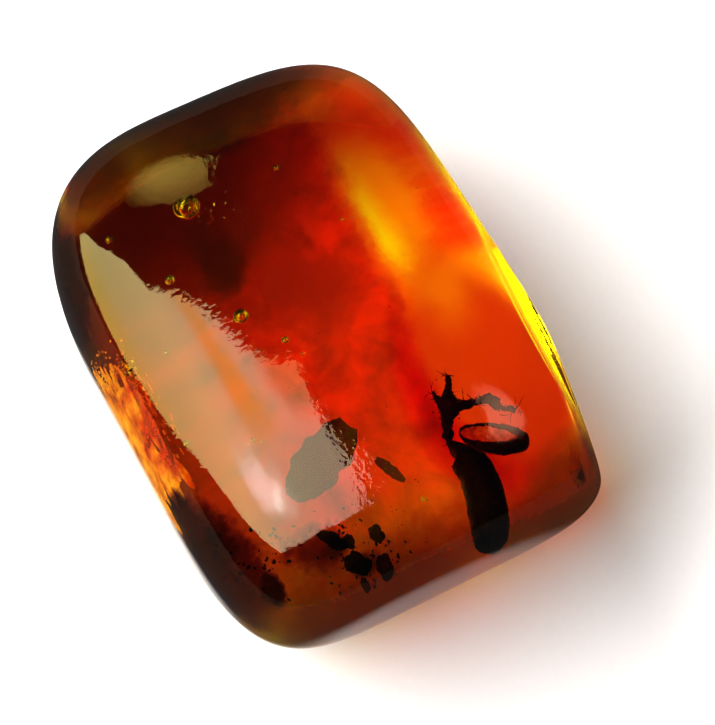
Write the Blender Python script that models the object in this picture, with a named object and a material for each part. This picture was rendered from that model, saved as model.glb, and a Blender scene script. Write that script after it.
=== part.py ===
"""Plant in amber: a polished cushion of amber, parted in two around the plant pieces that it seals in."""

import math

import bmesh
import bpy
from mathutils import Vector, noise

MM = 0.001

# The cushion: its long axis is X, its flat base lies at z = 0.
LENGTH = 24.0 * MM
WIDTH = 17.5 * MM
HEIGHT = 9.0 * MM
GIRDLE_HEIGHT = 3.2 * MM
BELLY = 1.0 * MM  # how far the round underside would hang below the flat base
PLAN_SQUARENESS = 4.55  # exponent of the rounded rectangle seen from above
SQUARER_TOWARDS_X = 1.07
SQUARER_TOWARDS_Y = 0.70
DOME_SQUARENESS = 2.8
UNDERSIDE_SQUARENESS = 2.6
SPLAY = 0.02  # the +Y side stands out further towards +X
LEAN = 0.02  # the plan leans towards +X along +Y
CUSHION_CUTS = 15

# The facet along the +Y side, ground in two strokes: the tilt of each stroke's normal from the
# vertical and its turn from +Y towards +X, in degrees, and its reach from the origin in mm.
FACET_STROKES = (
    (60.7, 3.4, 10.10),
    (73.1, 13.3, 10.46),
)

# How the amber is parted, and the room round each piece sealed in it.
PARTING_HEIGHT = 4.0 * MM
PARTING_GAP = 0.3 * MM
CLEARANCE = 0.3 * MM

# The stem: (x, y, z, radius) along its middle, from its blunt end up to the bract.
STEM_PATH = (
    (10.75, 2.10, 3.95, 0.66),
    (10.30, 2.28, 3.95, 0.76),
    (9.70, 2.52, 3.97, 0.80),
    (9.00, 2.74, 4.00, 0.81),
    (8.35, 2.84, 4.03, 0.76),
    (7.90, 2.80, 4.06, 0.60),
    (7.56, 2.62, 4.10, 0.36),
    (7.26, 2.46, 4.16, 0.20),
)

# The bract: an oval cup.
BRACT_MIDDLE = Vector((7.66, 4.06, 4.62)) * MM
BRACT_HALF_LENGTH = 1.16 * MM
BRACT_HALF_WIDTH = 0.62 * MM
BRACT_DEPTH = 0.55 * MM
BRACT_WALL = 0.18 * MM
BRACT_TURN = math.radians(62.0)  # of its length, from +X
BRACT_TIP = math.radians(-38.0)  # of its mouth, about its length

# The sprig: named points (x, y, z, radius) and the runs between them.
SPRIG_POINTS = {
    "root": (6.80, 2.46, 4.22, 0.16),
    "knee": (6.42, 2.72, 4.24, 0.15),
    "fork": (5.80, 3.12, 4.28, 0.26),
    "stalk": (5.28, 3.40, 4.34, 0.16),
    "top": (4.80, 3.68, 4.40, 0.10),
    "arm_1": (5.92, 3.56, 4.30, 0.15),
    "arm_2": (6.14, 4.08, 4.32, 0.12),
    "knuckle": (6.26, 4.62, 4.34, 0.20),
    "arm_3": (6.74, 4.84, 4.36, 0.11),
    "arm_tip": (7.12, 5.26, 4.40, 0.08),
    "spur": (5.40, 2.88, 4.30, 0.12),
    "spur_tip": (5.02, 2.80, 4.36, 0.08),
}
SPRIG_RUNS = (
    ("root", "knee", "fork", "stalk", "top"),
    ("fork", "arm_1", "arm_2", "knuckle", "arm_3", "arm_tip"),
    ("fork", "spur", "spur_tip"),
)

# The leaf fragment: a blade from its dark tip to its torn end.
LEAF_TIP = Vector((4.62, -0.75, 4.05)) * MM
LEAF_END = Vector((6.20, -3.85, 4.00)) * MM
LEAF_HALF_WIDTH = 0.92 * MM
LEAF_THICKNESS = 0.20 * MM
LEAF_CURL = 0.22 * MM
LEAF_STEPS = 18

# The flake: a thin sliver.
FLAKE_START = Vector((6.22, -0.46, 4.02)) * MM
FLAKE_END = Vector((7.40, 0.14, 4.00)) * MM
FLAKE_HALF_WIDTH = 0.22 * MM
FLAKE_THICKNESS = 0.14 * MM
FLAKE_CURL = 0.05 * MM
FLAKE_STEPS = 10

# The crumbs of plant litter: middle, half sizes and turn about Z.
CRUMBS = (
    ((8.08, -3.42, 4.00), (0.48, 0.26, 0.22), 42.0),
    ((8.42, -2.92, 4.02), (0.24, 0.20, 0.20), 10.0),
    ((8.54, -1.88, 4.00), (0.30, 0.26, 0.24), 25.0),
    ((9.16, -3.02, 4.00), (0.50, 0.36, 0.30), 58.0),
    ((9.66, -2.10, 4.00), (0.42, 0.32, 0.24), -20.0),
    ((9.92, -3.10, 4.00), (0.22, 0.18, 0.18), 0.0),
)
CRUMB_ROUGHNESS = 0.22
CRUMB_GRAIN = 1.7

# Colours, linear red, green and blue.
AMBER_ORANGE = (0.80, 0.20, 0.02)
STEM_BROWN_BLACK = (0.020, 0.015, 0.008)
BRACT_GREY_BROWN = (0.060, 0.040, 0.025)
SPRIG_BLACK = (0.015, 0.008, 0.005)
LEAF_GREY_BROWN = (0.070, 0.045, 0.030)
CRUMB_BROWN_BLACK = (0.015, 0.010, 0.006)


def clear_scene():
    for obj in list(bpy.data.objects):
        bpy.data.objects.remove(obj, do_unlink=True)


def material(name, colour, roughness, transmission=0.0):
    made = bpy.data.materials.new(name)
    made.use_nodes = True
    shader = made.node_tree.nodes["Principled BSDF"]
    shader.inputs["Base Color"].default_value = (*colour, 1.0)
    shader.inputs["Roughness"].default_value = roughness
    shader.inputs["Transmission Weight"].default_value = transmission
    shader.inputs["IOR"].default_value = 1.54
    return made


def add_object(name, bm, finish=None):
    """Turns the bmesh into an object of the scene, shaded smooth."""
    bmesh.ops.recalc_face_normals(bm, faces=bm.faces[:])
    mesh = bpy.data.meshes.new(name)
    bm.to_mesh(mesh)
    bm.free()
    mesh.shade_smooth()
    mesh.set_sharp_from_angle(angle=math.radians(35.0))
    obj = bpy.data.objects.new(name, mesh)
    bpy.context.scene.collection.objects.link(obj)
    if finish:
        mesh.materials.append(finish)
    return obj


def as_cutter(obj):
    obj.hide_render = True
    obj.display_type = "WIRE"
    return obj


def bulge(along, across, exponent):
    """How far a superellipse reaches in the direction (along, across)."""
    return (abs(along) ** exponent + abs(across) ** exponent) ** (-1.0 / exponent)


def cushion_point(direction):
    """The point of the whole cushion's surface that a direction from its middle stands for."""
    round_angle = math.atan2(direction.y, direction.x)
    rise_angle = math.atan2(direction.z, math.hypot(direction.x, direction.y))
    ahead, aside = math.cos(round_angle), math.sin(round_angle)
    squareness = PLAN_SQUARENESS + SQUARER_TOWARDS_X * ahead + SQUARER_TOWARDS_Y * aside
    level, rise = math.cos(rise_angle), math.sin(rise_angle)
    profile = bulge(level, rise, DOME_SQUARENESS if rise > 0.0 else UNDERSIDE_SQUARENESS)
    reach = bulge(ahead, aside, squareness) * level * profile
    x = LENGTH / 2.0 * ahead * reach
    y = WIDTH / 2.0 * aside * reach
    if y > 0.0:
        y *= 1.0 + SPLAY * x / (LENGTH / 2.0)
    height = HEIGHT - GIRDLE_HEIGHT if rise > 0.0 else GIRDLE_HEIGHT + BELLY
    return Vector((x + LEAN * y, y, GIRDLE_HEIGHT + height * rise * profile))


def cut_flat(bm, point, normal):
    """Cuts away what lies beyond a plane, and closes the cut with one flat face."""
    geometry = bm.verts[:] + bm.edges[:] + bm.faces[:]
    cut = bmesh.ops.bisect_plane(bm, geom=geometry, plane_co=point, plane_no=normal, clear_outer=True)
    rim = [item for item in cut["geom_cut"] if isinstance(item, bmesh.types.BMEdge)]
    bmesh.ops.contextual_create(bm, geom=rim)


def cushion():
    """The whole lump of amber: an even cube-sphere pushed out to the cushion, then ground flat in two places."""
    bm = bmesh.new()
    bmesh.ops.create_cube(bm, size=2.0)
    bmesh.ops.subdivide_edges(bm, edges=bm.edges[:], cuts=CUSHION_CUTS, use_grid_fill=True)
    for vert in bm.verts:
        vert.co = cushion_point(vert.co.normalized())
    for tilt, turn, reach in FACET_STROKES:
        tilted = math.radians(tilt)
        turned = math.radians(turn)
        normal = Vector((
            math.sin(tilted) * math.sin(turned),
            math.sin(tilted) * math.cos(turned),
            math.cos(tilted),
        ))
        cut_flat(bm, normal * reach * MM, normal)
    cut_flat(bm, Vector((0.0, 0.0, 0.0)), Vector((0.0, 0.0, -1.0)))
    return bm


def amber_half(name, side, finish):
    """The half of the cushion above the parting plane (side 1) or below it (side -1)."""
    bm = cushion()
    plane = Vector((0.0, 0.0, PARTING_HEIGHT + side * PARTING_GAP / 2.0))
    cut_flat(bm, plane, Vector((0.0, 0.0, -side)))
    return add_object(name, bm, finish)


def smooth_between(points, steps):
    """Points along a Catmull-Rom curve through tuples of any length."""
    out = []
    last = len(points) - 1
    for i in range(last):
        before, start = points[max(i - 1, 0)], points[i]
        end, after = points[i + 1], points[min(i + 2, last)]
        for step in range(steps):
            t = step / steps
            out.append(tuple(
                0.5 * (2 * b + (c - a) * t + (2 * a - 5 * b + 4 * c - d) * t**2 + (3 * b - a - 3 * c + d) * t**3)
                for a, b, c, d in zip(before, start, end, after)
            ))
    out.append(points[last])
    return out


def tube(path, sides, grow=0.0):
    """A round-ended solid along (x, y, z, radius) points in millimetres, made thicker and longer by grow."""
    bm = bmesh.new()
    stations = [(Vector(point[:3]) * MM, point[3] * MM + grow) for point in path]
    rings = []
    for i, (middle, radius) in enumerate(stations):
        ahead = stations[min(i + 1, len(stations) - 1)][0] - stations[max(i - 1, 0)][0]
        turn = ahead.to_track_quat("Z", "Y").to_matrix().to_4x4()
        turn.translation = middle
        rings.append((turn, radius))
    made = []
    first_turn, first_radius = rings[0]
    last_turn, last_radius = rings[-1]
    for lift, shrink in ((-0.85, 0.45), (-0.45, 0.85)):
        made.append(ring(bm, sides, first_turn, first_radius * shrink, first_radius * lift))
    for turn, radius in rings:
        made.append(ring(bm, sides, turn, radius, 0.0))
    for lift, shrink in ((0.45, 0.85), (0.85, 0.45)):
        made.append(ring(bm, sides, last_turn, last_radius * shrink, last_radius * lift))
    for lower, upper in zip(made, made[1:]):
        bmesh.ops.bridge_loops(bm, edges=lower + upper)
    bmesh.ops.contextual_create(bm, geom=made[0])
    bmesh.ops.contextual_create(bm, geom=made[-1])
    return bm


def ring(bm, sides, turn, radius, lift):
    """A circle of edges round the turn's Z axis, lifted along it."""
    made = bmesh.ops.create_circle(bm, segments=sides, radius=radius)
    bmesh.ops.translate(bm, verts=made["verts"], vec=(0.0, 0.0, lift))
    bmesh.ops.transform(bm, matrix=turn, verts=made["verts"])
    return list({edge for vert in made["verts"] for edge in vert.link_edges})


def bract_matrix():
    from_length = Vector((math.cos(BRACT_TURN), math.sin(BRACT_TURN), 0.0)).to_track_quat("X", "Z")
    turn = from_length.to_matrix().to_4x4()
    turn.translation = BRACT_MIDDLE
    return turn


def bract_shell(finish):
    """An oval cup with a thin wall: the lower half of an ellipsoid, open at its tipped mouth."""
    bm = bmesh.new()
    bmesh.ops.create_uvsphere(bm, u_segments=28, v_segments=14, radius=1.0)
    geometry = bm.verts[:] + bm.edges[:] + bm.faces[:]
    bmesh.ops.bisect_plane(bm, geom=geometry, plane_co=(0, 0, 0.05), plane_no=(0, 0, 1), clear_outer=True)
    bmesh.ops.scale(bm, verts=bm.verts[:], vec=(BRACT_HALF_LENGTH, BRACT_HALF_WIDTH, BRACT_DEPTH))
    tip(bm)
    bracts = add_object("bract", bm, finish)
    wall = bracts.modifiers.new("wall", "SOLIDIFY")
    wall.thickness = BRACT_WALL
    wall.offset = -1.0
    wall.use_even_offset = True
    return bracts


def tip(bm):
    """Tips a shape about the bract's length, and moves it to the bract's place."""
    cosine, sine = math.cos(BRACT_TIP), math.sin(BRACT_TIP)
    for vert in bm.verts:
        y, z = vert.co.y, vert.co.z
        vert.co.y = cosine * y - sine * z
        vert.co.z = sine * y + cosine * z
    bmesh.ops.transform(bm, matrix=bract_matrix(), verts=bm.verts[:])


def bract_pocket():
    bm = bmesh.new()
    bmesh.ops.create_uvsphere(bm, u_segments=20, v_segments=10, radius=1.0)
    room = Vector((BRACT_HALF_LENGTH, BRACT_HALF_WIDTH, BRACT_DEPTH)) + Vector((1.2, 1.4, 1.4)) * CLEARANCE
    bmesh.ops.scale(bm, verts=bm.verts[:], vec=room)
    tip(bm)
    return as_cutter(add_object("pocket_bract", bm))


def sprig_skeleton(name, grow, finish=None):
    """The sprig's runs as edges with a skin of the runs' radii round them."""
    mesh = bpy.data.meshes.new(name)
    names = list(SPRIG_POINTS)
    points = [Vector(SPRIG_POINTS[key][:3]) * MM for key in names]
    edges = [(names.index(a), names.index(b)) for run in SPRIG_RUNS for a, b in zip(run, run[1:])]
    mesh.from_pydata(points, edges, [])
    obj = bpy.data.objects.new(name, mesh)
    bpy.context.scene.collection.objects.link(obj)
    skin = obj.modifiers.new("skin", "SKIN")
    skin.use_smooth_shade = True
    for key, vert in zip(names, mesh.skin_vertices[0].data):
        radius = SPRIG_POINTS[key][3] * MM + grow
        vert.radius = (radius, radius)
        vert.use_root = key == "root"
    rounding = obj.modifiers.new("rounding", "SUBSURF")
    rounding.levels = 1
    rounding.render_levels = 1
    if finish:
        mesh.materials.append(finish)
    return obj


def blade(name, start, end, half_width, thickness, curl, steps, finish):
    """A thin blade with blunt ends, curled up along both edges."""
    bm = bmesh.new()
    bmesh.ops.create_grid(bm, x_segments=steps, y_segments=6, size=1.0)
    along = end - start
    aside = along.cross(Vector((0.0, 0.0, 1.0))).normalized()
    for vert in bm.verts:
        t = (vert.co.x + 1.0) / 2.0
        side = vert.co.y
        width = half_width * blade_outline(t)
        lift = curl * (side * side - 0.5 + 0.4 * math.sin(3.0 * t))
        vert.co = start + along * t + aside * (side * width) + Vector((0.0, 0.0, lift))
    obj = add_object(name, bm, finish)
    body = obj.modifiers.new("body", "SOLIDIFY")
    body.thickness = thickness
    body.offset = 0.0
    return obj


def blade_outline(t):
    """Half width along a blade: full in the middle, and blunt at both torn ends."""
    return math.sin(math.pi * (0.10 + 0.74 * t)) ** 0.6


def blade_pocket(name, start, end, half_width, thickness):
    """An oval room round a blade."""
    bm = bmesh.new()
    bmesh.ops.create_uvsphere(bm, u_segments=24, v_segments=10, radius=1.0)
    along = end - start
    room = (along.length / 2.0 * 1.28, half_width * 1.35 + CLEARANCE, thickness * 2.0 + 1.6 * CLEARANCE)
    bmesh.ops.scale(bm, verts=bm.verts[:], vec=room)
    turn = along.to_track_quat("X", "Z").to_matrix().to_4x4()
    turn.translation = (start + end) / 2.0
    bmesh.ops.transform(bm, matrix=turn, verts=bm.verts[:])
    return as_cutter(add_object(name, bm))


def lump(middle, half_sizes, turn_degrees, grow, roughness, subdivisions):
    """A rounded lump; its roughness makes it angular."""
    bm = bmesh.new()
    bmesh.ops.create_icosphere(bm, subdivisions=subdivisions, radius=1.0)
    seed = Vector(middle)
    cosine, sine = math.cos(math.radians(turn_degrees)), math.sin(math.radians(turn_degrees))
    for vert in bm.verts:
        swell = 1.0 + roughness * noise.noise(vert.co * CRUMB_GRAIN + seed)
        x, y, z = (vert.co[i] * (half_sizes[i] * MM * swell + grow) for i in range(3))
        vert.co = Vector(middle) * MM + Vector((cosine * x - sine * y, sine * x + cosine * y, z))
    return bm


def cut_pockets(half, cutters):
    for cutter in cutters:
        cut = half.modifiers.new(cutter.name, "BOOLEAN")
        cut.operation = "DIFFERENCE"
        cut.solver = "EXACT"
        cut.object = cutter


def main():
    clear_scene()
    amber = material("amber_polished", AMBER_ORANGE, 0.04, transmission=1.0)
    stem_finish = material("stem_charred", STEM_BROWN_BLACK, 0.6)
    bract_finish = material("bract_dry", BRACT_GREY_BROWN, 0.6)
    sprig_finish = material("sprig_charred", SPRIG_BLACK, 0.6)
    leaf_finish = material("leaf_dry", LEAF_GREY_BROWN, 0.6)
    crumb_finish = material("litter_dark", CRUMB_BROWN_BLACK, 0.7)

    pockets = []
    stem_path = smooth_between(STEM_PATH, 3)
    add_object("stem", tube(stem_path, 18), stem_finish)
    pockets.append(as_cutter(add_object("pocket_stem", tube(STEM_PATH, 14, CLEARANCE))))
    bract_shell(bract_finish)
    pockets.append(bract_pocket())
    sprig_skeleton("sprig", 0.0, sprig_finish)
    pockets.append(as_cutter(sprig_skeleton("pocket_sprig", CLEARANCE)))
    leaf = (LEAF_TIP, LEAF_END, LEAF_HALF_WIDTH, LEAF_THICKNESS)
    blade("leaf_fragment", *leaf, LEAF_CURL, LEAF_STEPS, leaf_finish)
    pockets.append(blade_pocket("pocket_leaf", *leaf))
    flake = (FLAKE_START, FLAKE_END, FLAKE_HALF_WIDTH, FLAKE_THICKNESS)
    blade("flake", *flake, FLAKE_CURL, FLAKE_STEPS, leaf_finish)
    pockets.append(blade_pocket("pocket_flake", *flake))
    for number, (middle, half_sizes, turn) in enumerate(CRUMBS, start=1):
        crumb = lump(middle, half_sizes, turn, 0.0, CRUMB_ROUGHNESS, 2)
        add_object(f"crumb_{number}", crumb, crumb_finish)
        room = lump(middle, half_sizes, turn, CLEARANCE, 0.0, 2)
        pockets.append(as_cutter(add_object(f"pocket_crumb_{number}", room)))

    for name, side in (("amber_upper", 1.0), ("amber_lower", -1.0)):
        cut_pockets(amber_half(name, side, amber), pockets)


main()
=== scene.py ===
"""Plant in amber: a polished cushion of old amber, with charred pieces of a plant sealed in it."""

import math
import random

import bmesh
import bpy
from mathutils import Euler, Matrix, Vector, noise


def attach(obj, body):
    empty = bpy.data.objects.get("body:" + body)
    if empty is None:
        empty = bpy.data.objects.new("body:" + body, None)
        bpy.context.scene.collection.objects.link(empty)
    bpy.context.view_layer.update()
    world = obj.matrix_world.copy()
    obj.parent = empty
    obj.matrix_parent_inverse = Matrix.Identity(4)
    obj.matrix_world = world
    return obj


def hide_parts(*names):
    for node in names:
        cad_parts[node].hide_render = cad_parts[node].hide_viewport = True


bl_info = {
    "name": "Plant in Amber",
    "version": (1, 0, 0),
    "blender": (4, 5, 0),
    "location": "View3D > Sidebar > Plant in Amber",
    "description": "Builds a polished amber cushion with a plant sealed in it",
    "category": "Add Mesh",
}

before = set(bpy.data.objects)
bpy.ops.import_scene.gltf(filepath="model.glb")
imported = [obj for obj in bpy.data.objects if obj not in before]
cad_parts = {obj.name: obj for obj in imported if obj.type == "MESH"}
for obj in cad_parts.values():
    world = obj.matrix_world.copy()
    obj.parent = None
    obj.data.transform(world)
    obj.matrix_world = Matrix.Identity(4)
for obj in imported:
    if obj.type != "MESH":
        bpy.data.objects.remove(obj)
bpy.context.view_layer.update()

MM = 0.001
UP = Vector((0.0, 0.0, 1.0))

# The cushion, as the CAD halves have it: its long axis is X, its flat base lies at z = 0.
LENGTH = 24.0 * MM
WIDTH = 17.5 * MM
HEIGHT = 9.0 * MM
GIRDLE_HEIGHT = 3.2 * MM
BELLY = 1.0 * MM
PLAN_SQUARENESS = 4.55
SQUARER_TOWARDS_X = 1.07
SQUARER_TOWARDS_Y = 0.70
DOME_SQUARENESS = 2.8
UNDERSIDE_SQUARENESS = 2.6
SPLAY = 0.02
LEAN = 0.02
# The facet, ground in two strokes: the tilt of each one's normal from the vertical and its turn
# from +Y towards +X, in degrees, its reach from the origin and how softly it was ground in mm, and
# the tint left on it.
FACET_STROKES = (
    (60.7, 3.4, 10.17, 0.0, "fffa58"),
    (73.1, 13.3, 10.59, 0.15, "ffd850"),
)

# The index of refraction of amber.
AMBER_IOR = 1.54
# Resin wets the plant and the cracks, so that hardly any light glances off them.
WETTED_SHEEN = 0.08
# An edge is shown sharp where its faces meet at more than this.
SHARP_EDGE = math.radians(30.0)

# Heights in mm between which the crust fades out up the wall, and the base gives way to it.
CRUST_EDGE = (1.2, 0.6)
BASE_EDGE = (0.05, 0.02)
# How far inside a stroke's plane its tint sets in, in mm, and further in for its softness.
STROKE_EDGE = (0.05, 0.02)
STROKE_EDGE_SOFT = 0.5
# The broad and fine straying of the patches' edges, by size in mm, the share of the fine and how
# far both reach, and the size in mm of the clouds in the crust.
BROAD_STRAY = 2.857
FINE_STRAY = 0.4545
FINE_STRAY_SHARE = 0.35
STRAY_REACH = 2.5
CRUST_CLOUD = 1.667

# Air bubbles in the amber: (x, y, z) and radius in mm.
BUBBLES = (
    ((-6.07, -2.30, 6.40), 0.55),
    ((-5.92, 1.67, 6.50), 0.14),
    ((-6.29, -5.60, 6.80), 0.16),
    ((-3.35, -4.34, 7.00), 0.20),
    ((-0.67, -2.57, 6.50), 0.30),
    ((1.10, -1.55, 6.50), 0.14),
    ((1.82, -1.18, 6.00), 0.08),
    ((-0.67, -5.79, 7.00), 0.09),
    ((-2.74, 2.94, 6.00), 0.08),
    ((4.40, -4.60, 7.30), 0.08),
    ((4.62, -4.35, 7.30), 0.06),
    ((2.90, -6.60, 6.20), 0.14),
)
# Bubbles are flatter than wide, and large ones need a finer mesh.
BUBBLE_FLATNESS = 0.94
LARGE_BUBBLE = 0.25
BUBBLE_WALL_GRAIN = 0.1667
# Stress fissures, thin discs of air: middle and spread in mm, how many, radii in mm.
FISSURES = (
    ((-1.10, -7.05, 5.4), (0.75, 0.45, 0.55), 34, (0.05, 0.16)),
    ((-2.00, -7.60, 4.8), (0.35, 0.20, 0.40), 12, (0.05, 0.14)),
    ((2.00, -7.00, 6.2), (1.20, 0.25, 0.40), 8, (0.04, 0.09)),
    ((9.10, 0.22, 6.2), (0.10, 0.10, 0.10), 3, (0.05, 0.10)),
    ((-4.55, -0.75, 7.5), (1.10, 0.45, 0.20), 16, (0.03, 0.07)),
    ((-5.30, -1.80, 7.0), (0.60, 0.50, 0.30), 10, (0.03, 0.07)),
    ((4.40, -4.60, 7.5), (0.40, 0.30, 0.20), 8, (0.02, 0.05)),
)
FISSURE_THINNESS = 0.08

# Crazing just under the worn side: half length and least and largest half width of a crack in mm,
# the range round Z and in rise in degrees, and how many.
CRAZING = (
    (0.05, (0.02, 0.06), (-101.0, -91.0), (8.0, 38.0), 280),
    (0.30, (0.05, 0.14), (-97.0, -80.0), (3.0, 33.0), 190),
    (0.80, (0.07, 0.20), (-92.0, -71.0), (3.0, 37.0), 190),
    (0.10, (0.02, 0.05), (-94.0, -70.0), (34.0, 40.0), 60),
)
# The way in from the worn side, how far along it the cracks lie, and half their thickness in mm.
CRAZING_INWARD = Vector((0.0, 0.75, -0.66))
CRAZING_DEPTHS = (0.25, 0.55)
CRAZING_THICKNESS = 0.012
# How far they stray past the ranges, as a share of the range round Z and in degrees of rise, and
# how far up the rise they lie thickest, as a share.
CRAZING_STRAY = 0.25
CRAZING_STRAY_UP = 3.0
CRAZING_THICKEST = 0.4
# Their tilt in degrees and its spread, and their sway in radians.
CRAZING_TILT = (48.0, 14.0)
CRAZING_SWAY = 0.10
# The size of the glints painted into their colour, and the heights of their top and foot, in mm.
CRAZING_PAINTED_GLINT = 0.9091
CRAZING_TOP = 7.6
CRAZING_FOOT = 3.6

# The stem: (x, y, z, radius) in mm along its middle, from its blunt end up to its neck.
STEM_PATH = (
    (10.75, 2.10, 3.95, 0.66),
    (10.30, 2.28, 3.95, 0.76),
    (9.70, 2.52, 3.97, 0.80),
    (9.00, 2.74, 4.00, 0.81),
    (8.35, 2.84, 4.03, 0.76),
    (7.90, 2.76, 4.06, 0.70),
    (7.52, 2.56, 4.10, 0.54),
    (7.20, 2.42, 4.16, 0.34),
    (6.90, 2.40, 4.20, 0.24),
    (6.60, 2.56, 4.24, 0.17),
)
STEM_STEPS = 10
STEM_SIDES = 48

# The bract: an oval cup.
BRACT_MIDDLE = Vector((7.62, 3.96, 4.62)) * MM
BRACT_HALF_LENGTH = 1.22 * MM
BRACT_HALF_WIDTH = 0.76 * MM
BRACT_DEPTH = 0.55 * MM
BRACT_WALL = 0.072 * MM
BRACT_TURN = math.radians(57.0)
BRACT_TIP = math.radians(-38.0)
BRACT_THICK_AT = math.radians(-35.0)
BRACT_RIM_THIN = 0.045
BRACT_RIM_THICK = 0.26
BRACT_MOUTH = 0.05
BRACT_RIM_STEPS = 60
BRACT_RIM_SIDES = 12

# The sprig: named points (x, y, z, radius) in mm and the runs between them.
SPRIG_POINTS = {
    "root": (6.90, 2.46, 4.22, 0.20),
    "knee": (6.42, 2.70, 4.24, 0.21),
    "fork": (5.80, 3.10, 4.28, 0.32),
    "stalk": (5.28, 3.40, 4.34, 0.19),
    "top": (4.80, 3.68, 4.40, 0.10),
    "arm_1": (5.92, 3.56, 4.30, 0.19),
    "arm_2": (6.14, 4.08, 4.32, 0.12),
    "knuckle": (6.26, 4.62, 4.34, 0.23),
    "arm_3": (6.74, 4.84, 4.36, 0.11),
    "arm_tip": (7.12, 5.26, 4.40, 0.08),
    "spur": (5.40, 2.88, 4.30, 0.12),
    "spur_tip": (5.02, 2.80, 4.36, 0.08),
}
SPRIG_RUNS = (
    ("root", "knee", "fork", "stalk", "top"),
    ("fork", "arm_1", "arm_2", "knuckle", "arm_3", "arm_tip"),
    ("fork", "spur", "spur_tip"),
)
HAIR_RADIUS = 0.022
HAIR_SIDES = 5

# Blades: start, end, half width, thickness and curl, in mm.
BLADES = {
    "leaf_fragment": ((4.62, -0.75, 4.05), (6.20, -3.85, 4.00), 0.92, 0.10, 0.22),
    "flake": ((6.22, -0.46, 4.02), (7.40, 0.14, 4.00), 0.22, 0.07, 0.05),
}
BLADE_CUTS = (70, 22)
# The midrib's height in mm, and its half width as a share of the blade's.
RIB_HEIGHT = 0.02
RIB_WIDTH = 0.06

# How deep charred tissue flakes, and the width of the bract's veins in mm.
FLAKING_DEPTH = 0.04 * MM
BRACT_VEIN = 0.4167

# The crumbs of plant litter: middle, half sizes in mm, and turn about Z.
CRUMBS = (
    ((8.08, -3.42, 4.00), (0.48, 0.26, 0.22), 42.0),
    ((8.42, -2.92, 4.02), (0.24, 0.20, 0.20), 10.0),
    ((8.54, -1.88, 4.00), (0.30, 0.26, 0.24), 25.0),
    ((9.16, -3.02, 4.00), (0.50, 0.36, 0.30), 58.0),
    ((9.66, -2.10, 4.00), (0.42, 0.32, 0.24), -20.0),
    ((9.92, -3.10, 4.00), (0.22, 0.18, 0.18), 0.0),
)

# Clouds of fine specks: middle and spread in mm, the largest radius in mm, and the share of specks.
SPECK_CLOUDS = (
    ((8.40, -3.10, 4.00), (1.2, 1.0, 0.6), 0.09, 5.0),
    ((9.30, -2.60, 4.00), (0.8, 1.6, 0.6), 0.10, 5.0),
    ((7.80, -5.60, 4.40), (1.6, 1.4, 0.8), 0.10, 4.0),
    ((5.90, 3.00, 4.40), (0.8, 0.7, 0.5), 0.06, 4.0),
    ((9.00, -0.60, 5.00), (1.6, 1.2, 1.2), 0.05, 2.0),
    ((2.00, 0.00, 5.50), (9.0, 6.0, 2.0), 0.04, 3.0),
)

# The camera: where it looks from, and the point that it looks at, in mm.
CAMERA_AZIMUTH = math.radians(61.78)
CAMERA_ELEVATION = math.radians(66.0)
CAMERA_DISTANCE = 83.93 * MM
CAMERA_LENS = 100.0
TARGET_ASIDE = 2.0 * MM
TARGET_DOWN = 1.07 * MM
TARGET_HEIGHT = 4.0 * MM
# Level directions: to the camera's right, and away from it.
RIGHT = Vector((math.cos(CAMERA_AZIMUTH), math.sin(CAMERA_AZIMUTH), 0.0))
AWAY = Vector((-math.sin(CAMERA_AZIMUTH), math.cos(CAMERA_AZIMUTH), 0.0))

# The floor. Its reflection in polish is painted dimming out between two distances in mm from the
# lump, measured with the floor's coordinates stretched and shifted.
FLOOR_HALF_SIZE = 2.0
FLOOR_DROP = 0.02 * MM
FLOOR_GRAIN = 0.3333
FLOOR_NEAR = (9.2, 10.8)
FLOOR_NEAR_STRETCH = (0.73, 1.0, 1.0)
FLOOR_NEAR_SHIFT = (-0.9, 0.0, 0.0)
# How bright the room is in polish.
ROOM_IN_POLISH = 0.02

# The key light: its width, height and distance in metres, how far round it stands from the camera's
# left, and how high.
KEY_WIDTH = 1.2
KEY_HEIGHT = 0.30
KEY_DISTANCE = 0.5
KEY_TURN = math.radians(13.0)
KEY_RISE = math.radians(34.0)
LIGHT_BOUNCES = 24

# How far off the panes are in metres, and how many clouds their spots' edges have to a unit.
PANE_DISTANCE = 3.0
PANE_CLOUDS = 7.0
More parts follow.
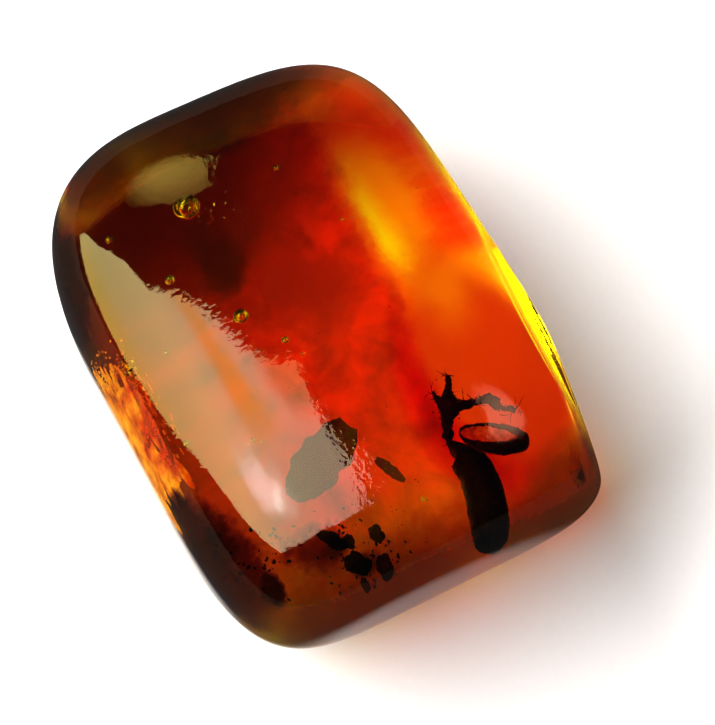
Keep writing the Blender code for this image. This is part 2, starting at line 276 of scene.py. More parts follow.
# The panes: outlines as (right, away) at a height of one, colours from the far left to the right,
# and spots as the skin's patches, in (right, away).
PANES = (
    ("window", (
        ((0.395, -0.41), (0.225, -0.085), (-0.065, 0.355), (-0.47, 0.31), (-0.86, 0.27),
         (-1.26, -0.46), (-0.74, -0.62), (-0.38, -0.8)),
        ((-0.86, 0.27), (-1.1, 0.42), (-2.24, 0.82), (-3.7, 1.54), (-3.9, -0.42),
         (-2.5, -0.32), (-1.73, -0.3), (-1.26, -0.46)),
        ((-3.7, 1.54), (-9.0, 3.6), (-12.0, 0.6), (-14.0, -0.95), (-6.0, -0.5), (-3.9, -0.42)),
    ), ((0.0, "a98f3c"), (0.07, "a89a60"), (0.25, "b9a870"), (0.5, "a59a78"), (1.0, "86766c")), (
        ("warm_streak", "c58b3f", (-0.42, 0.22, 0.0), (0.32, 0.15, 1.0), -25.0, 0.1, 0.08),
        ("dim_edge", "84653a", (-0.12, 0.34, 0.0), (0.34, 0.16, 1.0), -30.0, 0.2, 0.04),
        ("bright_spot", "e8d6c4", (-0.42, -0.17, 0.0), (0.46, 0.22, 1.0), -20.0, 0.15, 0.06),
        ("bright_core", "fff4e0", (-0.28, -0.22, 0.0), (0.09, 0.13, 1.0), 20.0, 0.2, 0.04),
    )),
    ("far_pane", (
        ((-1.75, 2.4), (-1.0, 2.1), (-0.62, 1.75), (-0.38, 1.33), (-0.28, 0.95), (-0.45, 0.84),
         (-0.95, 0.95), (-1.4, 1.45)),
    ), ((0.0, "000000"), (1.0, "000000")), (
        ("olive", "8a7230", (-0.6, 1.32, 0.0), (0.5, 0.8, 1.0), 32.0, 0.05, 0.03),
    )),
    ("near_pane", (
        ((0.4, -0.05), (0.3, 0.12), (0.3, 0.22), (0.42, 0.27), (0.58, 0.2), (0.74, -0.05),
         (0.72, -0.33), (0.6, -0.36), (0.46, -0.24)),
    ), ((0.0, "000000"), (1.0, "000000")), (
        ("pale", "8a6450", (0.52, -0.04, 0.0), (0.24, 0.34, 1.0), 20.0, 0.3, 0.02),
    )),
)


# What makes a Mix node mix colours.
IN_COLOUR = {"data_type": "RGBA"}


def linear(code):
    """The linear colour, with alpha, of an sRGB hex code."""
    channels = [int(code[i:i + 2], 16) / 255.0 for i in (0, 2, 4)]
    curve = [c / 12.92 if c <= 0.04045 else ((c + 0.055) / 1.055) ** 2.4 for c in channels]
    return (*curve, 1.0)


def set_inputs(tree, node, inputs):
    """Sets a node's inputs, or links them: a node given as a value stands for its first output."""
    for key, value in inputs.items():
        if isinstance(value, bpy.types.Node):
            value = value.outputs[0]
        if isinstance(value, bpy.types.NodeSocket):
            tree.links.new(value, node.inputs[key])
        else:
            node.inputs[key].default_value = value


def add_node(tree, kind, settings=None, inputs=None, stops=()):
    """Adds one shader node with its settings, inputs, and the places and hex codes of its ramp."""
    made = tree.nodes.new("ShaderNode" + kind)
    for name, value in (settings or {}).items():
        setattr(made, name, value)
    set_inputs(tree, made, inputs or {})
    for end in (0, -1) if stops else ():
        made.color_ramp.elements[end].position = stops[end][0]
        made.color_ramp.elements[end].color = linear(stops[end][1])
    for position, code in stops[1:-1]:
        made.color_ramp.elements.new(position).color = linear(code)
    return made


def new_material(name):
    """A material with its tree, its shader and the Object coordinates in millimetres."""
    made = bpy.data.materials.new(name)
    made.use_nodes = True
    tree = made.node_tree
    shader = tree.nodes["Principled BSDF"]
    coordinates = add_node(tree, "TexCoord")
    place = add_node(tree, "VectorMath", {"operation": "SCALE"}, {
        0: coordinates.outputs["Object"], "Scale": 1000.0})
    return made, tree, shader, place


def join(bm, other):
    """Adds the other bmesh to this one, and frees it."""
    carried = bpy.data.meshes.new("carried")
    other.to_mesh(carried)
    other.free()
    bm.from_mesh(carried)
    bpy.data.meshes.remove(carried)


def put_in_scene(name, data):
    """Makes an object of the data."""
    item = bpy.data.objects.new(name, data)
    bpy.context.scene.collection.objects.link(item)
    return item


def finish_piece(name, bm, materials, replaced=(), recalculate=True):
    """Makes the bmesh a smooth-shaded piece that rides on the root and takes its finish from a slot."""
    if recalculate:
        bmesh.ops.recalc_face_normals(bm, faces=bm.faces[:])
    mesh = bpy.data.meshes.new(name)
    bm.to_mesh(mesh)
    bm.free()
    mesh.shade_smooth()
    mesh.set_sharp_from_angle(angle=SHARP_EDGE)
    for material in materials:
        mesh.materials.append(material)
    piece = put_in_scene(name, mesh)
    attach(piece, "root")
    if replaced:
        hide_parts(*replaced)


# Amber

def bulge(along, across, exponent):
    """How far a superellipse reaches in the direction (along, across)."""
    return (abs(along) ** exponent + abs(across) ** exponent) ** (-1.0 / exponent)


def cushion_point(direction):
    """The point of the whole cushion's surface that a direction from its middle stands for."""
    round_angle = math.atan2(direction.y, direction.x)
    rise_angle = math.atan2(direction.z, math.hypot(direction.x, direction.y))
    ahead, aside = math.cos(round_angle), math.sin(round_angle)
    squareness = PLAN_SQUARENESS + SQUARER_TOWARDS_X * ahead + SQUARER_TOWARDS_Y * aside
    level, rise = math.cos(rise_angle), math.sin(rise_angle)
    profile = bulge(level, rise, DOME_SQUARENESS if rise > 0.0 else UNDERSIDE_SQUARENESS)
    reach = bulge(ahead, aside, squareness) * level * profile
    x = LENGTH / 2.0 * ahead * reach
    y = WIDTH / 2.0 * aside * reach
    if y > 0.0:
        y *= 1.0 + SPLAY * x / (LENGTH / 2.0)
    height = HEIGHT - GIRDLE_HEIGHT if rise > 0.0 else GIRDLE_HEIGHT + BELLY
    return Vector((x + LEAN * y, y, GIRDLE_HEIGHT + height * rise * profile))


def cut_off(bm, point, normal):
    """Takes away what lies beyond a plane, and returns the edges of the rim."""
    cut = bmesh.ops.bisect_plane(
        bm, geom=bm.verts[:] + bm.edges[:] + bm.faces[:],
        plane_co=point, plane_no=normal, clear_outer=True)
    return [item for item in cut["geom_cut"] if isinstance(item, bmesh.types.BMEdge)]


def cut_flat(bm, point, normal):
    """Grinds away what lies beyond a plane, and closes the cut with one flat face."""
    rim = cut_off(bm, point, normal)
    bmesh.ops.contextual_create(bm, geom=rim)


def stroke_normal(tilt, turn):
    """The direction that a stroke of grinding faces."""
    turned = Matrix.Rotation(math.radians(-turn), 3, "Z")
    return turned @ Matrix.Rotation(math.radians(-tilt), 3, "X") @ UP


def cushion(cuts):
    """The whole lump of amber, from a cube-sphere, ground on its facet and flat on its base."""
    bm = bmesh.new()
    bmesh.ops.create_cube(bm, size=2.0)
    bmesh.ops.subdivide_edges(bm, edges=bm.edges[:], cuts=cuts, use_grid_fill=True)
    for vert in bm.verts:
        vert.co = cushion_point(vert.co.normalized())
    for tilt, turn, reach, soft, _ in FACET_STROKES:
        normal = stroke_normal(tilt, turn)
        if soft:
            for vert in bm.verts:
                beyond = (vert.co.dot(normal) / MM - reach) / soft
                ground = max(beyond, 0.0) + math.log1p(math.exp(-abs(beyond)))
                vert.co -= normal * ground * soft * MM
        else:
            cut_flat(bm, normal * reach * MM, normal)
    cut_flat(bm, UP * 0.0, -UP)
    bmesh.ops.recalc_face_normals(bm, faces=bm.faces[:])
    return bm


def any_turn(draw):
    """A turn whose Z axis points any way."""
    ahead = Vector((draw.gauss(0, 1), draw.gauss(0, 1), draw.gauss(0, 1)))
    return ahead.to_track_quat("Z", "Y")


def add_blob(bm, middle, sizes, turn, detail):
    """A small ellipsoid, with its middle and half sizes in mm."""
    matrix = Matrix.LocRotScale(Vector(middle) * MM, turn, Vector(sizes) * MM)
    bmesh.ops.create_icosphere(bm, subdivisions=detail, radius=1.0, matrix=matrix)


# Where the skin of the amber differs: a tint, its middle and half sizes in mm, its turn about Z
# in degrees, the part of it at full strength, and how ragged its edge is in mm. The tints are
# layers, in which a channel of 00 would let nothing through. Some are painted shade, as marked.
SKIN_PATCHES = (
    # Painted shade: a near-black foot at the -X end, where the light is bent away.
    ("painted_shade_foot", "0c0605", (-12.8, 0.0, 2.0), (4.0, 12.0, 4.4), 0.0, 0.6, 0.8),
    # Painted shade: a dark tint under the +Y side, not seen itself, that deepens the shadow cast on the
    # floor.
    ("shadow_deepening_side", "4a2414", (0.0, 9.6, 1.6), (11.0, 2.6, 3.2), 0.0, 0.7, 0.5),
    # Painted shade at the -X end: dark maroon over the end and a corner, near black lower down and on
    # the -Y side.
    ("painted_shade_maroon_end", "5c1c0a", (-10.4, 1.2, 7.4), (4.2, 6.0, 2.4), 0.0, 0.3, 0.8),
    ("painted_shade_maroon_corner", "5c2c0a", (-9.2, -5.0, 6.9), (2.4, 2.2, 1.8), 0.0, 0.4, 0.6),
    ("painted_shade_end", "0c0605", (-13.2, 0.0, 3.5), (4.8, 11.0, 5.6), 0.0, 0.5, 0.8),
    ("painted_shade_side", "180c07", (-9.0, -8.9, 4.2), (5.6, 2.4, 3.2), 0.0, 0.6, 0.5),
    # Darker towards the +X end.
    ("dark_end", "7a1008", (12.9, -0.5, 5.0), (4.0, 11.0, 4.6), 0.0, 0.35, 1.5),
    # Painted shade: a dark tint under the +X end that deepens the shadow cast on the floor there.
    ("shadow_deepening_end", "9a180a", (13.4, -1.0, 1.4), (3.0, 9.0, 3.0), 0.0, 0.6, 0.5),
    ("thin_top", "fffbd0", (0.5, -0.3, 9.2), (5.0, 2.2, 2.0), 0.0, 0.3, 0.6),
    ("shoulder", "fe5503", (-3.0, 6.2, 8.2), (8.0, 3.0, 2.4), 0.0, 0.5, 0.3),
    ("reddened_shoulder", "a00601", (6.9, 4.5, 8.2), (6.1, 4.1, 3.6), -3.0, 0.62, 0.3),
    ("amber_glow", "c03004", (2.2, 4.8, 8.7), (3.4, 1.9, 2.0), -10.0, 0.1, 0.6),
    ("worn_side", "fff0c0", (1.3, -8.6, 5.0), (4.0, 1.8, 3.2), 3.0, 0.85, 0.45),
    ("rind_low", "200c08", (7.9, -7.9, 5.8), (3.4, 2.0, 3.0), 6.0, 0.55, 1.5),
    ("rind_high", "5a2410", (-5.9, -7.8, 5.6), (3.4, 1.5, 2.2), -14.0, 0.6, 0.9),
    ("soot_low", "3a120c", (9.6, -4.4, 7.2), (1.6, 1.4, 2.0), 60.0, 0.2, 1.6),
    ("soot_1", "201012", (5.0, -8.3, 6.0), (1.2, 0.7, 1.1), 0.0, 0.5, 0.9),
    ("soot_2", "0a0506", (7.5, -7.6, 6.4), (1.1, 0.6, 1.0), 20.0, 0.6, 0.9),
    ("soot_3", "0a0506", (9.8, -6.6, 6.3), (0.8, 0.6, 0.9), 0.0, 0.5, 0.7),
    ("soot_4", "180606", (10.7, -3.1, 6.8), (0.6, 0.8, 0.8), 0.0, 0.3, 0.5),
    ("soot_5", "180606", (9.7, -3.9, 7.4), (0.5, 0.8, 0.8), 30.0, 0.3, 0.5),
)
# The same over the facet's end.
RIM_PATCHES = (
    # Darker over the facet's end.
    ("dark_facet_rim", "3c100a", (12.8, 6.2, 4.8), (4.2, 5.0, 4.6), 0.0, 0.6, 0.6),
)
# The same for the brown crust on the base. Some patches are painted shade, and the nearly clear
# ones paint light, as marked.
CRUST_PATCHES = (
    # Painted shade: darker crust under the -X end, its edge, a spot and the middle, where the light is
    # bent away.
    ("painted_shade_crust_end", "6a1008", (-9.5, -1.5, 0.0), (8.0, 7.0, 3.0), 0.0, 0.3, 1.5),
    ("painted_shade_crust_edge", "160a08", (-11.6, 0.5, 0.3), (3.0, 9.0, 3.0), 0.0, 0.5, 1.0),
    ("painted_shade_crust_spot", "4a120c", (-5.2, -1.4, 0.0), (2.0, 1.3, 3.0), 0.0, 0.3, 1.2),
    ("painted_shade_crust_middle", "9e1408", (-2.4, 1.0, 0.0), (3.2, 2.4, 3.0), 20.0, 0.25, 1.2),
    # Darker towards the +X end of the base, and at its +X rim.
    ("dark_far_end", "8a1408", (8.4, -1.0, 0.0), (2.4, 6.0, 3.0), 0.0, 0.3, 1.5),
    ("dark_base_rim", "3a0a06", (12.6, -1.0, 0.2), (3.8, 9.5, 3.0), 0.0, 0.25, 0.8),
    # Painted light: nearly clear crust in a band and under the facet, so that they show bright where
    # light focuses.
    ("painted_light_band", "fffff0", (-3.9, 5.1, 0.0), (6.6, 1.8, 3.0), -3.0, 0.3, 0.5),
    ("painted_light_facet_corner", "fffff0", (3.2, 6.2, 0.0), (5.4, 3.4, 3.0), 0.0, 0.65, 0.3),
    # Darker at the base's -Y side.
    ("dark_base_side", "3a0a06", (6.4, -8.8, 0.2), (6.5, 2.6, 3.0), 0.0, 0.3, 1.2),
    # Painted light: nearly clear crust under the worn side, for the bright strip there.
    ("painted_light_side_strip", "ffe8d0", (-0.3, -5.9, 0.0), (3.6, 1.1, 3.0), 0.0, 0.5, 0.3),
)


def patched(tree, place, drift, tint, patches, layers=True):
    """The tint with each patch laid over it in turn: as layers, some painted shade or light, or as
    plain mixes.
    """
    for name, code, middle, reach, turn, full, ragged in patches:
        strayed = add_node(tree, "VectorMath", {"operation": "MULTIPLY_ADD"}, {
            0: drift, 1: (ragged * STRAY_REACH,) * 3, 2: place})
        local = add_node(tree, "Mapping", {"vector_type": "TEXTURE", "label": name}, {
            "Vector": strayed, "Location": middle,
            "Rotation": (0.0, 0.0, math.radians(turn)), "Scale": reach})
        away = add_node(tree, "VectorMath", {"operation": "LENGTH"}, {0: local})
        mask = add_node(tree, "MapRange", {"interpolation_type": "SMOOTHSTEP"}, {
            "Value": away.outputs["Value"], "From Min": full, "From Max": 1.0,
            "To Min": 1.0, "To Max": 0.0})
        if layers:
            rest = add_node(tree, "Math", {"operation": "SUBTRACT"}, {0: 1.0, 1: mask})
            under = add_node(tree, "Gamma", None, {"Color": tint, "Gamma": rest})
            over = add_node(tree, "Gamma", None, {"Color": linear(code), "Gamma": mask})
            tint = add_node(tree, "VectorMath", {"operation": "MULTIPLY"}, {0: under, 1: over})
        else:
            tint = add_node(tree, "Mix", IN_COLOUR, {0: mask, 6: tint, 7: linear(code)}).outputs[2]
    return tint


def amber_tint(tree, place, skin, crust):
    """The tint at a place of the surface, and a mask that is 1 on the base."""
    slow = add_node(tree, "TexNoise", None, {
        "Vector": place, "Scale": 1.0 / BROAD_STRAY, "Detail": 3.0, "Roughness": 0.6})
    fine = add_node(tree, "TexNoise", None, {
        "Vector": place, "Scale": 1.0 / FINE_STRAY, "Detail": 4.0, "Roughness": 0.65})
    both = add_node(tree, "Mix", IN_COLOUR, {
        0: FINE_STRAY_SHARE, 6: slow.outputs["Color"], 7: fine.outputs["Color"]})
    drift = add_node(tree, "VectorMath", {"operation": "SUBTRACT"}, {
        0: both.outputs[2], 1: (0.5, 0.5, 0.5)})
    tint = patched(tree, place, drift, skin, SKIN_PATCHES)
    for tilt, turn, reach, soft, code in FACET_STROKES:
        beyond = add_node(tree, "VectorMath", {"operation": "DOT_PRODUCT"}, {
            0: place, 1: stroke_normal(tilt, turn)})
        start, full = (reach - edge - soft * STROKE_EDGE_SOFT for edge in STROKE_EDGE)
        ground = add_node(tree, "MapRange", None, {
            "Value": beyond.outputs["Value"], "From Min": start, "From Max": full})
        tint = add_node(tree, "Mix", IN_COLOUR, {0: ground, 6: tint, 7: linear(code)}).outputs[2]
    tint = patched(tree, place, drift, tint, RIM_PATCHES)
    clouds = add_node(tree, "TexNoise", None, {
        "Vector": place, "Scale": 1.0 / CRUST_CLOUD, "Detail": 6.0, "Roughness": 0.6,
        "Distortion": 0.4})
    streaks = add_node(tree, "MapRange", None, {
        "Value": clouds, "From Min": 0.35, "From Max": 0.62})
    mottled = add_node(tree, "Mix", IN_COLOUR, {0: streaks, 6: linear("a01608"), 7: crust})
    brown = patched(tree, place, drift, mottled.outputs[2], CRUST_PATCHES)
    height = add_node(tree, "SeparateXYZ", None, {0: place})
    crusted = add_node(tree, "MapRange", None, {
        "Value": height.outputs["Z"], "From Min": CRUST_EDGE[0], "From Max": CRUST_EDGE[1]})
    base = add_node(tree, "MapRange", None, {
        "Value": height.outputs["Z"], "From Min": BASE_EDGE[0], "From Max": BASE_EDGE[1]})
    return add_node(tree, "Mix", IN_COLOUR, {
        0: crusted, 6: tint, 7: brown}).outputs[2], base


def polished_amber(settings):
    """Old amber, polished: clear yellow resin that a thin skin, made by the air, turns cherry red."""
    made, tree, shader, place = new_material("amber_polished")
    tint, base = amber_tint(tree, place, (*settings.skin, 1.0), (*settings.crust, 1.0))
    rough = add_node(tree, "MapRange", None, {"Value": base, "To Max": settings.base_roughness})
    # The crust swallows what the base would throw back.
    glint = add_node(tree, "Mix", IN_COLOUR, {0: base, 6: linear("ffffff"), 7: linear("b01004")})
    # Polishing leaves shallow waves in a soft resin.
    waves = add_node(tree, "TexNoise", None, {"Vector": place, "Scale": MM / settings.wave_length})
    bump = add_node(tree, "Bump", None, {"Height": waves, "Distance": settings.wave_depth})
    set_inputs(tree, shader, {
        "Base Color": tint, "Roughness": rough, "Specular Tint": glint.outputs[2],
        "Normal": bump, "Transmission Weight": 1.0, "IOR": AMBER_IOR})
    body = add_node(tree, "VolumeAbsorption", None, {
        "Color": (*settings.body, 1.0), "Density": settings.density})
    set_inputs(tree, tree.nodes["Material Output"], {"Volume": body})
    return made


def hollow_wall():
    """The wall of an air bubble in amber: the same resin, without the skin, so that it glints."""
    made, tree, shader, place = new_material("amber_bubble_wall")
    grain = add_node(tree, "TexNoise", None, {"Vector": place, "Scale": 1.0 / BUBBLE_WALL_GRAIN})
    tone = add_node(tree, "Mix", IN_COLOUR, {0: grain, 6: linear("fff4e0"), 7: linear("ffffff")})
    set_inputs(tree, shader, {
        "Base Color": tone.outputs[2], "Roughness": 0.03, "Transmission Weight": 1.0,
        "IOR": AMBER_IOR})
    return made


def crazed():
    """Crazed amber: cracks full of air throw light back, yellow at the foot and red above, with painted
    glints.
    """
    made, tree, shader, place = new_material("amber_crazing")
    # Painted glints: noise that turns spots of the cracks' colour bright yellow.
    glints = add_node(tree, "TexNoise", None, {
        "Vector": place, "Scale": 1.0 / CRAZING_PAINTED_GLINT, "Detail": 3.0})
    height = add_node(tree, "SeparateXYZ", None, {0: place})
    lower = add_node(tree, "MapRange", None, {
        "Value": height.outputs["Z"], "From Min": CRAZING_TOP, "From Max": CRAZING_FOOT,
        "To Min": -0.30, "To Max": 0.30})
    fade = add_node(tree, "Math", {"operation": "ADD"}, {0: glints, 1: lower})
    tone = add_node(tree, "ValToRGB", None, {"Fac": fade}, (
        (0.34, "c83a02"), (0.72, "ffb81c")))
    cover = add_node(tree, "MapRange", None, {
        "Value": glints, "From Min": 0.35, "From Max": 0.60,
        "To Min": 0.50, "To Max": 0.95})
    set_inputs(tree, shader, {
        "Base Color": tone, "Alpha": cover, "Roughness": 0.6,
        "Specular IOR Level": WETTED_SHEEN})
    return made


# Plant pieces

def charred(name, dark, light, grain, roughness, cover=1.0):
    """Plant tissue turned to charcoal: nearly black, paler in a grain, of a size in mm, that flakes."""
    made, tree, shader, place = new_material(name)
    streaks = add_node(tree, "TexNoise", None, {
        "Vector": place, "Scale": 1.0 / grain, "Detail": 5.0, "Roughness": 0.6})
    tone = add_node(tree, "ValToRGB", None, {"Fac": streaks}, (
        (0.40, dark), (0.72, light)))
    bump = add_node(tree, "Bump", None, {
        "Height": streaks, "Strength": 0.6, "Distance": FLAKING_DEPTH})
    set_inputs(tree, shader, {
        "Base Color": tone, "Normal": bump, "Roughness": roughness,
        "Alpha": cover, "Specular IOR Level": WETTED_SHEEN})
    return made


def bract_membrane():
    """The bract's wall, dried to a thin, half clear membrane."""
    made, tree, shader, place = new_material("bract_dry_membrane")
    veins = add_node(tree, "TexNoise", None, {
        "Vector": place, "Scale": 1.0 / BRACT_VEIN, "Detail": 4.0, "Distortion": 0.6})
    tone = add_node(tree, "Mix", IN_COLOUR, {0: veins, 6: linear("5a3424"), 7: linear("b0a094")})
    cover = add_node(tree, "MapRange", None, {
        "Value": veins, "From Min": 0.35, "From Max": 0.7,
        "To Min": 0.08, "To Max": 0.5})
    set_inputs(tree, shader, {
        "Base Color": tone.outputs[2], "Alpha": cover, "Roughness": 0.5})
    return made


def smooth_between(points, steps):
    """Points along a Catmull-Rom curve through tuples of any length."""
    out = []
    last = len(points) - 1
    for i in range(last):
        before, start = points[max(i - 1, 0)], points[i]
        end, after = points[i + 1], points[min(i + 2, last)]
        for step in range(steps):
            t = step / steps
            out.append(tuple(
                0.5 * (2 * b + (c - a) * t + (2 * a - 5 * b + 4 * c - d) * t**2
                       + (3 * b - a - 3 * c + d) * t**3)
                for a, b, c, d in zip(before, start, end, after)
            ))
    out.append(points[last])
    return out


def ring(bm, sides, turn, radius, lift):
    """A circle of edges round the turn's Z axis, lifted along it."""
    made = bmesh.ops.create_circle(bm, segments=sides, radius=radius)
    bmesh.ops.translate(bm, verts=made["verts"], vec=(0.0, 0.0, lift))
    bmesh.ops.transform(bm, matrix=turn, verts=made["verts"])
    return list(dict.fromkeys(edge for vert in made["verts"] for edge in vert.link_edges))


def add_tube(bm, path, sides):
    """A round-ended solid along (x, y, z, radius) points in millimetres."""
    stations = [(Vector(point[:3]) * MM, point[3] * MM) for point in path]
    turns = []
    for i, (middle, radius) in enumerate(stations):
        ahead = stations[min(i + 1, len(stations) - 1)][0] - stations[max(i - 1, 0)][0]
        turn = ahead.to_track_quat("Z", "Y").to_matrix().to_4x4()
        turn.translation = middle
        turns.append((turn, radius, 0.0))
    first_turn, first_radius, _ = turns[0]
    last_turn, last_radius, _ = turns[-1]
    rounded = [(0.85, 0.45), (0.45, 0.85)]
    foot = [(first_turn, first_radius * shrink, -first_radius * lift) for lift, shrink in rounded]
    head = [(last_turn, last_radius * shrink, last_radius * lift)
            for lift, shrink in reversed(rounded)]
    made = [ring(bm, sides, turn, radius, lift) for turn, radius, lift in foot + turns + head]
    for lower, upper in zip(made, made[1:]):
        bmesh.ops.bridge_loops(bm, edges=lower + upper)
    bmesh.ops.contextual_create(bm, geom=made[0])
    bmesh.ops.contextual_create(bm, geom=made[-1])


def roughen(bm, amount, grain, seed):
    """Pushes the surface in and out along its normals by noise."""
    bm.normal_update()
    shift = Vector((seed, seed * 0.7, -seed))
    moved = [
        vert.co + vert.normal * amount * noise.fractal(vert.co / MM * grain + shift, 0.6, 2.1, 4)
        for vert in bm.verts]
    for vert, place in zip(bm.verts, moved):
        vert.co = place


# Stage

def set_on_stage(name, bm, material):
    """Makes the bmesh an object of the stage."""
    mesh = bpy.data.meshes.new(name)
    bm.to_mesh(mesh)
    bm.free()
    mesh.materials.append(material)
    item = put_in_scene(name, mesh)
    return item


def set_camera():
    """Sets up the camera, which looks down on the lump."""
    back = UP * math.sin(CAMERA_ELEVATION) - AWAY * math.cos(CAMERA_ELEVATION)
    up = back.cross(RIGHT)
    target = RIGHT * TARGET_ASIDE - up * TARGET_DOWN + UP * TARGET_HEIGHT
    lens = bpy.data.cameras.new("camera")
    lens.lens = CAMERA_LENS
    lens.clip_start = MM
    camera = put_in_scene("camera", lens)
    turn = Matrix((RIGHT, up, back)).transposed().to_4x4()
    camera.matrix_world = Matrix.Translation(target + back * CAMERA_DISTANCE) @ turn
    bpy.context.scene.camera = camera


def paper(colour):
    """Smooth white paper. In polish its reflection is painted: itself close by, dim further off, as the
    room is.
    """
    made, tree, shader, place = new_material("paper_white")
    grain = add_node(tree, "TexNoise", None, {"Vector": place, "Scale": 1.0 / FLOOR_GRAIN})
    tone = add_node(tree, "Mix", IN_COLOUR, {0: grain, 6: (*colour, 1.0), 7: linear("f2f2f4")})
    around = add_node(tree, "VectorMath", {"operation": "MULTIPLY_ADD"}, {
        0: place, 1: FLOOR_NEAR_STRETCH, 2: FLOOR_NEAR_SHIFT})
    off = add_node(tree, "VectorMath", {"operation": "LENGTH"}, {0: around})
    past = add_node(tree, "MapRange", {"interpolation_type": "SMOOTHSTEP"}, {
        "Value": off.outputs["Value"], "From Min": FLOOR_NEAR[0], "From Max": FLOOR_NEAR[1]})
    # Painted reflection: in polish, the floor beyond a distance from the lump turns dim blue-grey.
    glossy = add_node(tree, "LightPath").outputs["Is Glossy Ray"]
    dim = add_node(tree, "Math", {"operation": "MULTIPLY"}, {0: past, 1: glossy})
    seen = add_node(tree, "Mix", IN_COLOUR, {0: dim, 6: tone.outputs[2], 7: linear("141c26")})
    set_inputs(tree, shader, {"Base Color": seen.outputs[2], "Roughness": 0.9})
    return made


def lay_floor(colour):
    """Lays the floor just under the lump."""
    bm = bmesh.new()
    bmesh.ops.create_grid(bm, x_segments=1, y_segments=1, size=FLOOR_HALF_SIZE)
    bmesh.ops.translate(bm, verts=bm.verts[:], vec=UP * -FLOOR_DROP)
    set_on_stage("floor", bm, paper(colour))


def daylight(name, stops, spots, brightness):
    """Daylight behind a pane: colours from far left to right, and spots over them."""
    made, tree, shader, place = new_material(name)
    tree.nodes.remove(shader)
    ahead = add_node(tree, "VectorMath", {"operation": "NORMALIZE"}, {0: place})
    aside = add_node(tree, "VectorMath", {"operation": "DOT_PRODUCT"}, {0: ahead, 1: RIGHT})
    onward = add_node(tree, "VectorMath", {"operation": "DOT_PRODUCT"}, {0: ahead, 1: AWAY})
    height = add_node(tree, "SeparateXYZ", None, {0: ahead})
    flat = add_node(tree, "CombineXYZ", None, {
        0: aside.outputs["Value"], 1: onward.outputs["Value"]})
    over = add_node(tree, "Math", {"operation": "DIVIDE"}, {0: 1.0, 1: height.outputs["Z"]})
    spot = add_node(tree, "VectorMath", {"operation": "SCALE"}, {0: flat, "Scale": over})
    clouds = add_node(tree, "TexNoise", None, {"Vector": spot, "Scale": PANE_CLOUDS, "Detail": 4.0})
    drift = add_node(tree, "VectorMath", {"operation": "SUBTRACT"}, {
        0: clouds.outputs["Color"], 1: (0.5, 0.5, 0.5)})
    along = add_node(tree, "MapRange", None, {
        "Value": aside.outputs["Value"], "From Min": -1.0, "From Max": 0.4})
    tone = add_node(tree, "ValToRGB", None, {"Fac": along}, stops)
    tint = patched(tree, spot, drift, tone, spots, layers=False)
    glow = add_node(tree, "Emission", None, {"Color": tint, "Strength": brightness})
    set_inputs(tree, tree.nodes["Material Output"], {"Surface": glow})
    return made


def hang_panes(brightness):
    """Hangs the panes of daylight, which only polish shows."""
    for name, outlines, stops, spots in PANES:
        bm = bmesh.new()
        for outline in outlines:
            corners = [(RIGHT * r + AWAY * u + UP).normalized() for r, u in outline]
            bm.faces.new([bm.verts.new(corner * PANE_DISTANCE) for corner in corners])
        pane = set_on_stage(name, bm, daylight(name, stops, spots, brightness))
        pane.visible_camera = False
        pane.visible_diffuse = False
        pane.visible_transmission = False
        pane.visible_shadow = False


def hang_key(brightness):
    """Hangs the key light, a large soft one that polish doesn't show."""
    key = bpy.data.lights.new("key", "AREA")
    key.shape = "RECTANGLE"
    key.size, key.size_y = KEY_WIDTH, KEY_HEIGHT
    key.energy = brightness * math.pi * KEY_HEIGHT
    key.color = linear("fffaf6")[:3]
    aside = -RIGHT * math.cos(KEY_TURN) + AWAY * math.sin(KEY_TURN)
    towards = aside * math.cos(KEY_RISE) + UP * math.sin(KEY_RISE)
    turn = towards.to_track_quat("Z", "Y").to_matrix().to_4x4()
    lamp = put_in_scene("key", key)
    lamp.matrix_world = Matrix.Translation(towards * KEY_DISTANCE) @ turn
    lamp.visible_glossy = False


def light_room(brightness):
    """Lights the room softly from all round, dimmer and bluer in polish."""
    world = bpy.data.worlds.new("room")
    world.use_nodes = True
    tree = world.node_tree
    glossy = add_node(tree, "LightPath").outputs["Is Glossy Ray"]
    seen = add_node(tree, "MapRange", None, {
        "Value": glossy, "To Min": brightness, "To Max": ROOM_IN_POLISH})
    tone = add_node(tree, "Mix", IN_COLOUR, {0: glossy, 6: linear("f4f4ff"), 7: linear("b8d8ff")})
    set_inputs(tree, tree.nodes["Background"], {"Color": tone.outputs[2], "Strength": seen})
    bpy.context.scene.world = world


# Add-on

class PIA_PG_amber(bpy.types.PropertyGroup):
    """Sizes and colours of the amber."""

    cuts: bpy.props.IntProperty(
        name="Cuts", description="How finely the cushion's surface is divided",
        default=70, min=10, max=110)
    body: bpy.props.FloatVectorProperty(
        name="Body", description="Colour that the clear resin lets through", subtype="COLOR",
        default=linear("fefdae")[:3], min=0.0, max=1.0)
    density: bpy.props.FloatProperty(
        name="Density", description="How strongly the resin absorbs, per metre", default=400.0, min=0.0)
    skin: bpy.props.FloatVectorProperty(
        name="Skin", description="Tint of the oxidised skin", subtype="COLOR",
        default=linear("fde51f")[:3], min=0.0, max=1.0)
    crust: bpy.props.FloatVectorProperty(
        name="Crust", description="Tint of the crust on the base", subtype="COLOR",
        default=linear("f42204")[:3], min=0.0, max=1.0)
    base_roughness: bpy.props.FloatProperty(
        name="Base Roughness", description="Roughness of the ground base",
        default=0.35, min=0.0, max=1.0)
    wave_length: bpy.props.FloatProperty(
        name="Wave Length", description="Length of the waves left by polishing",
        default=0.3 * MM, subtype="DISTANCE", unit="LENGTH")
    wave_depth: bpy.props.FloatProperty(
        name="Wave Depth", description="Depth of the waves left by polishing",
        default=0.0040 * MM, subtype="DISTANCE", unit="LENGTH")


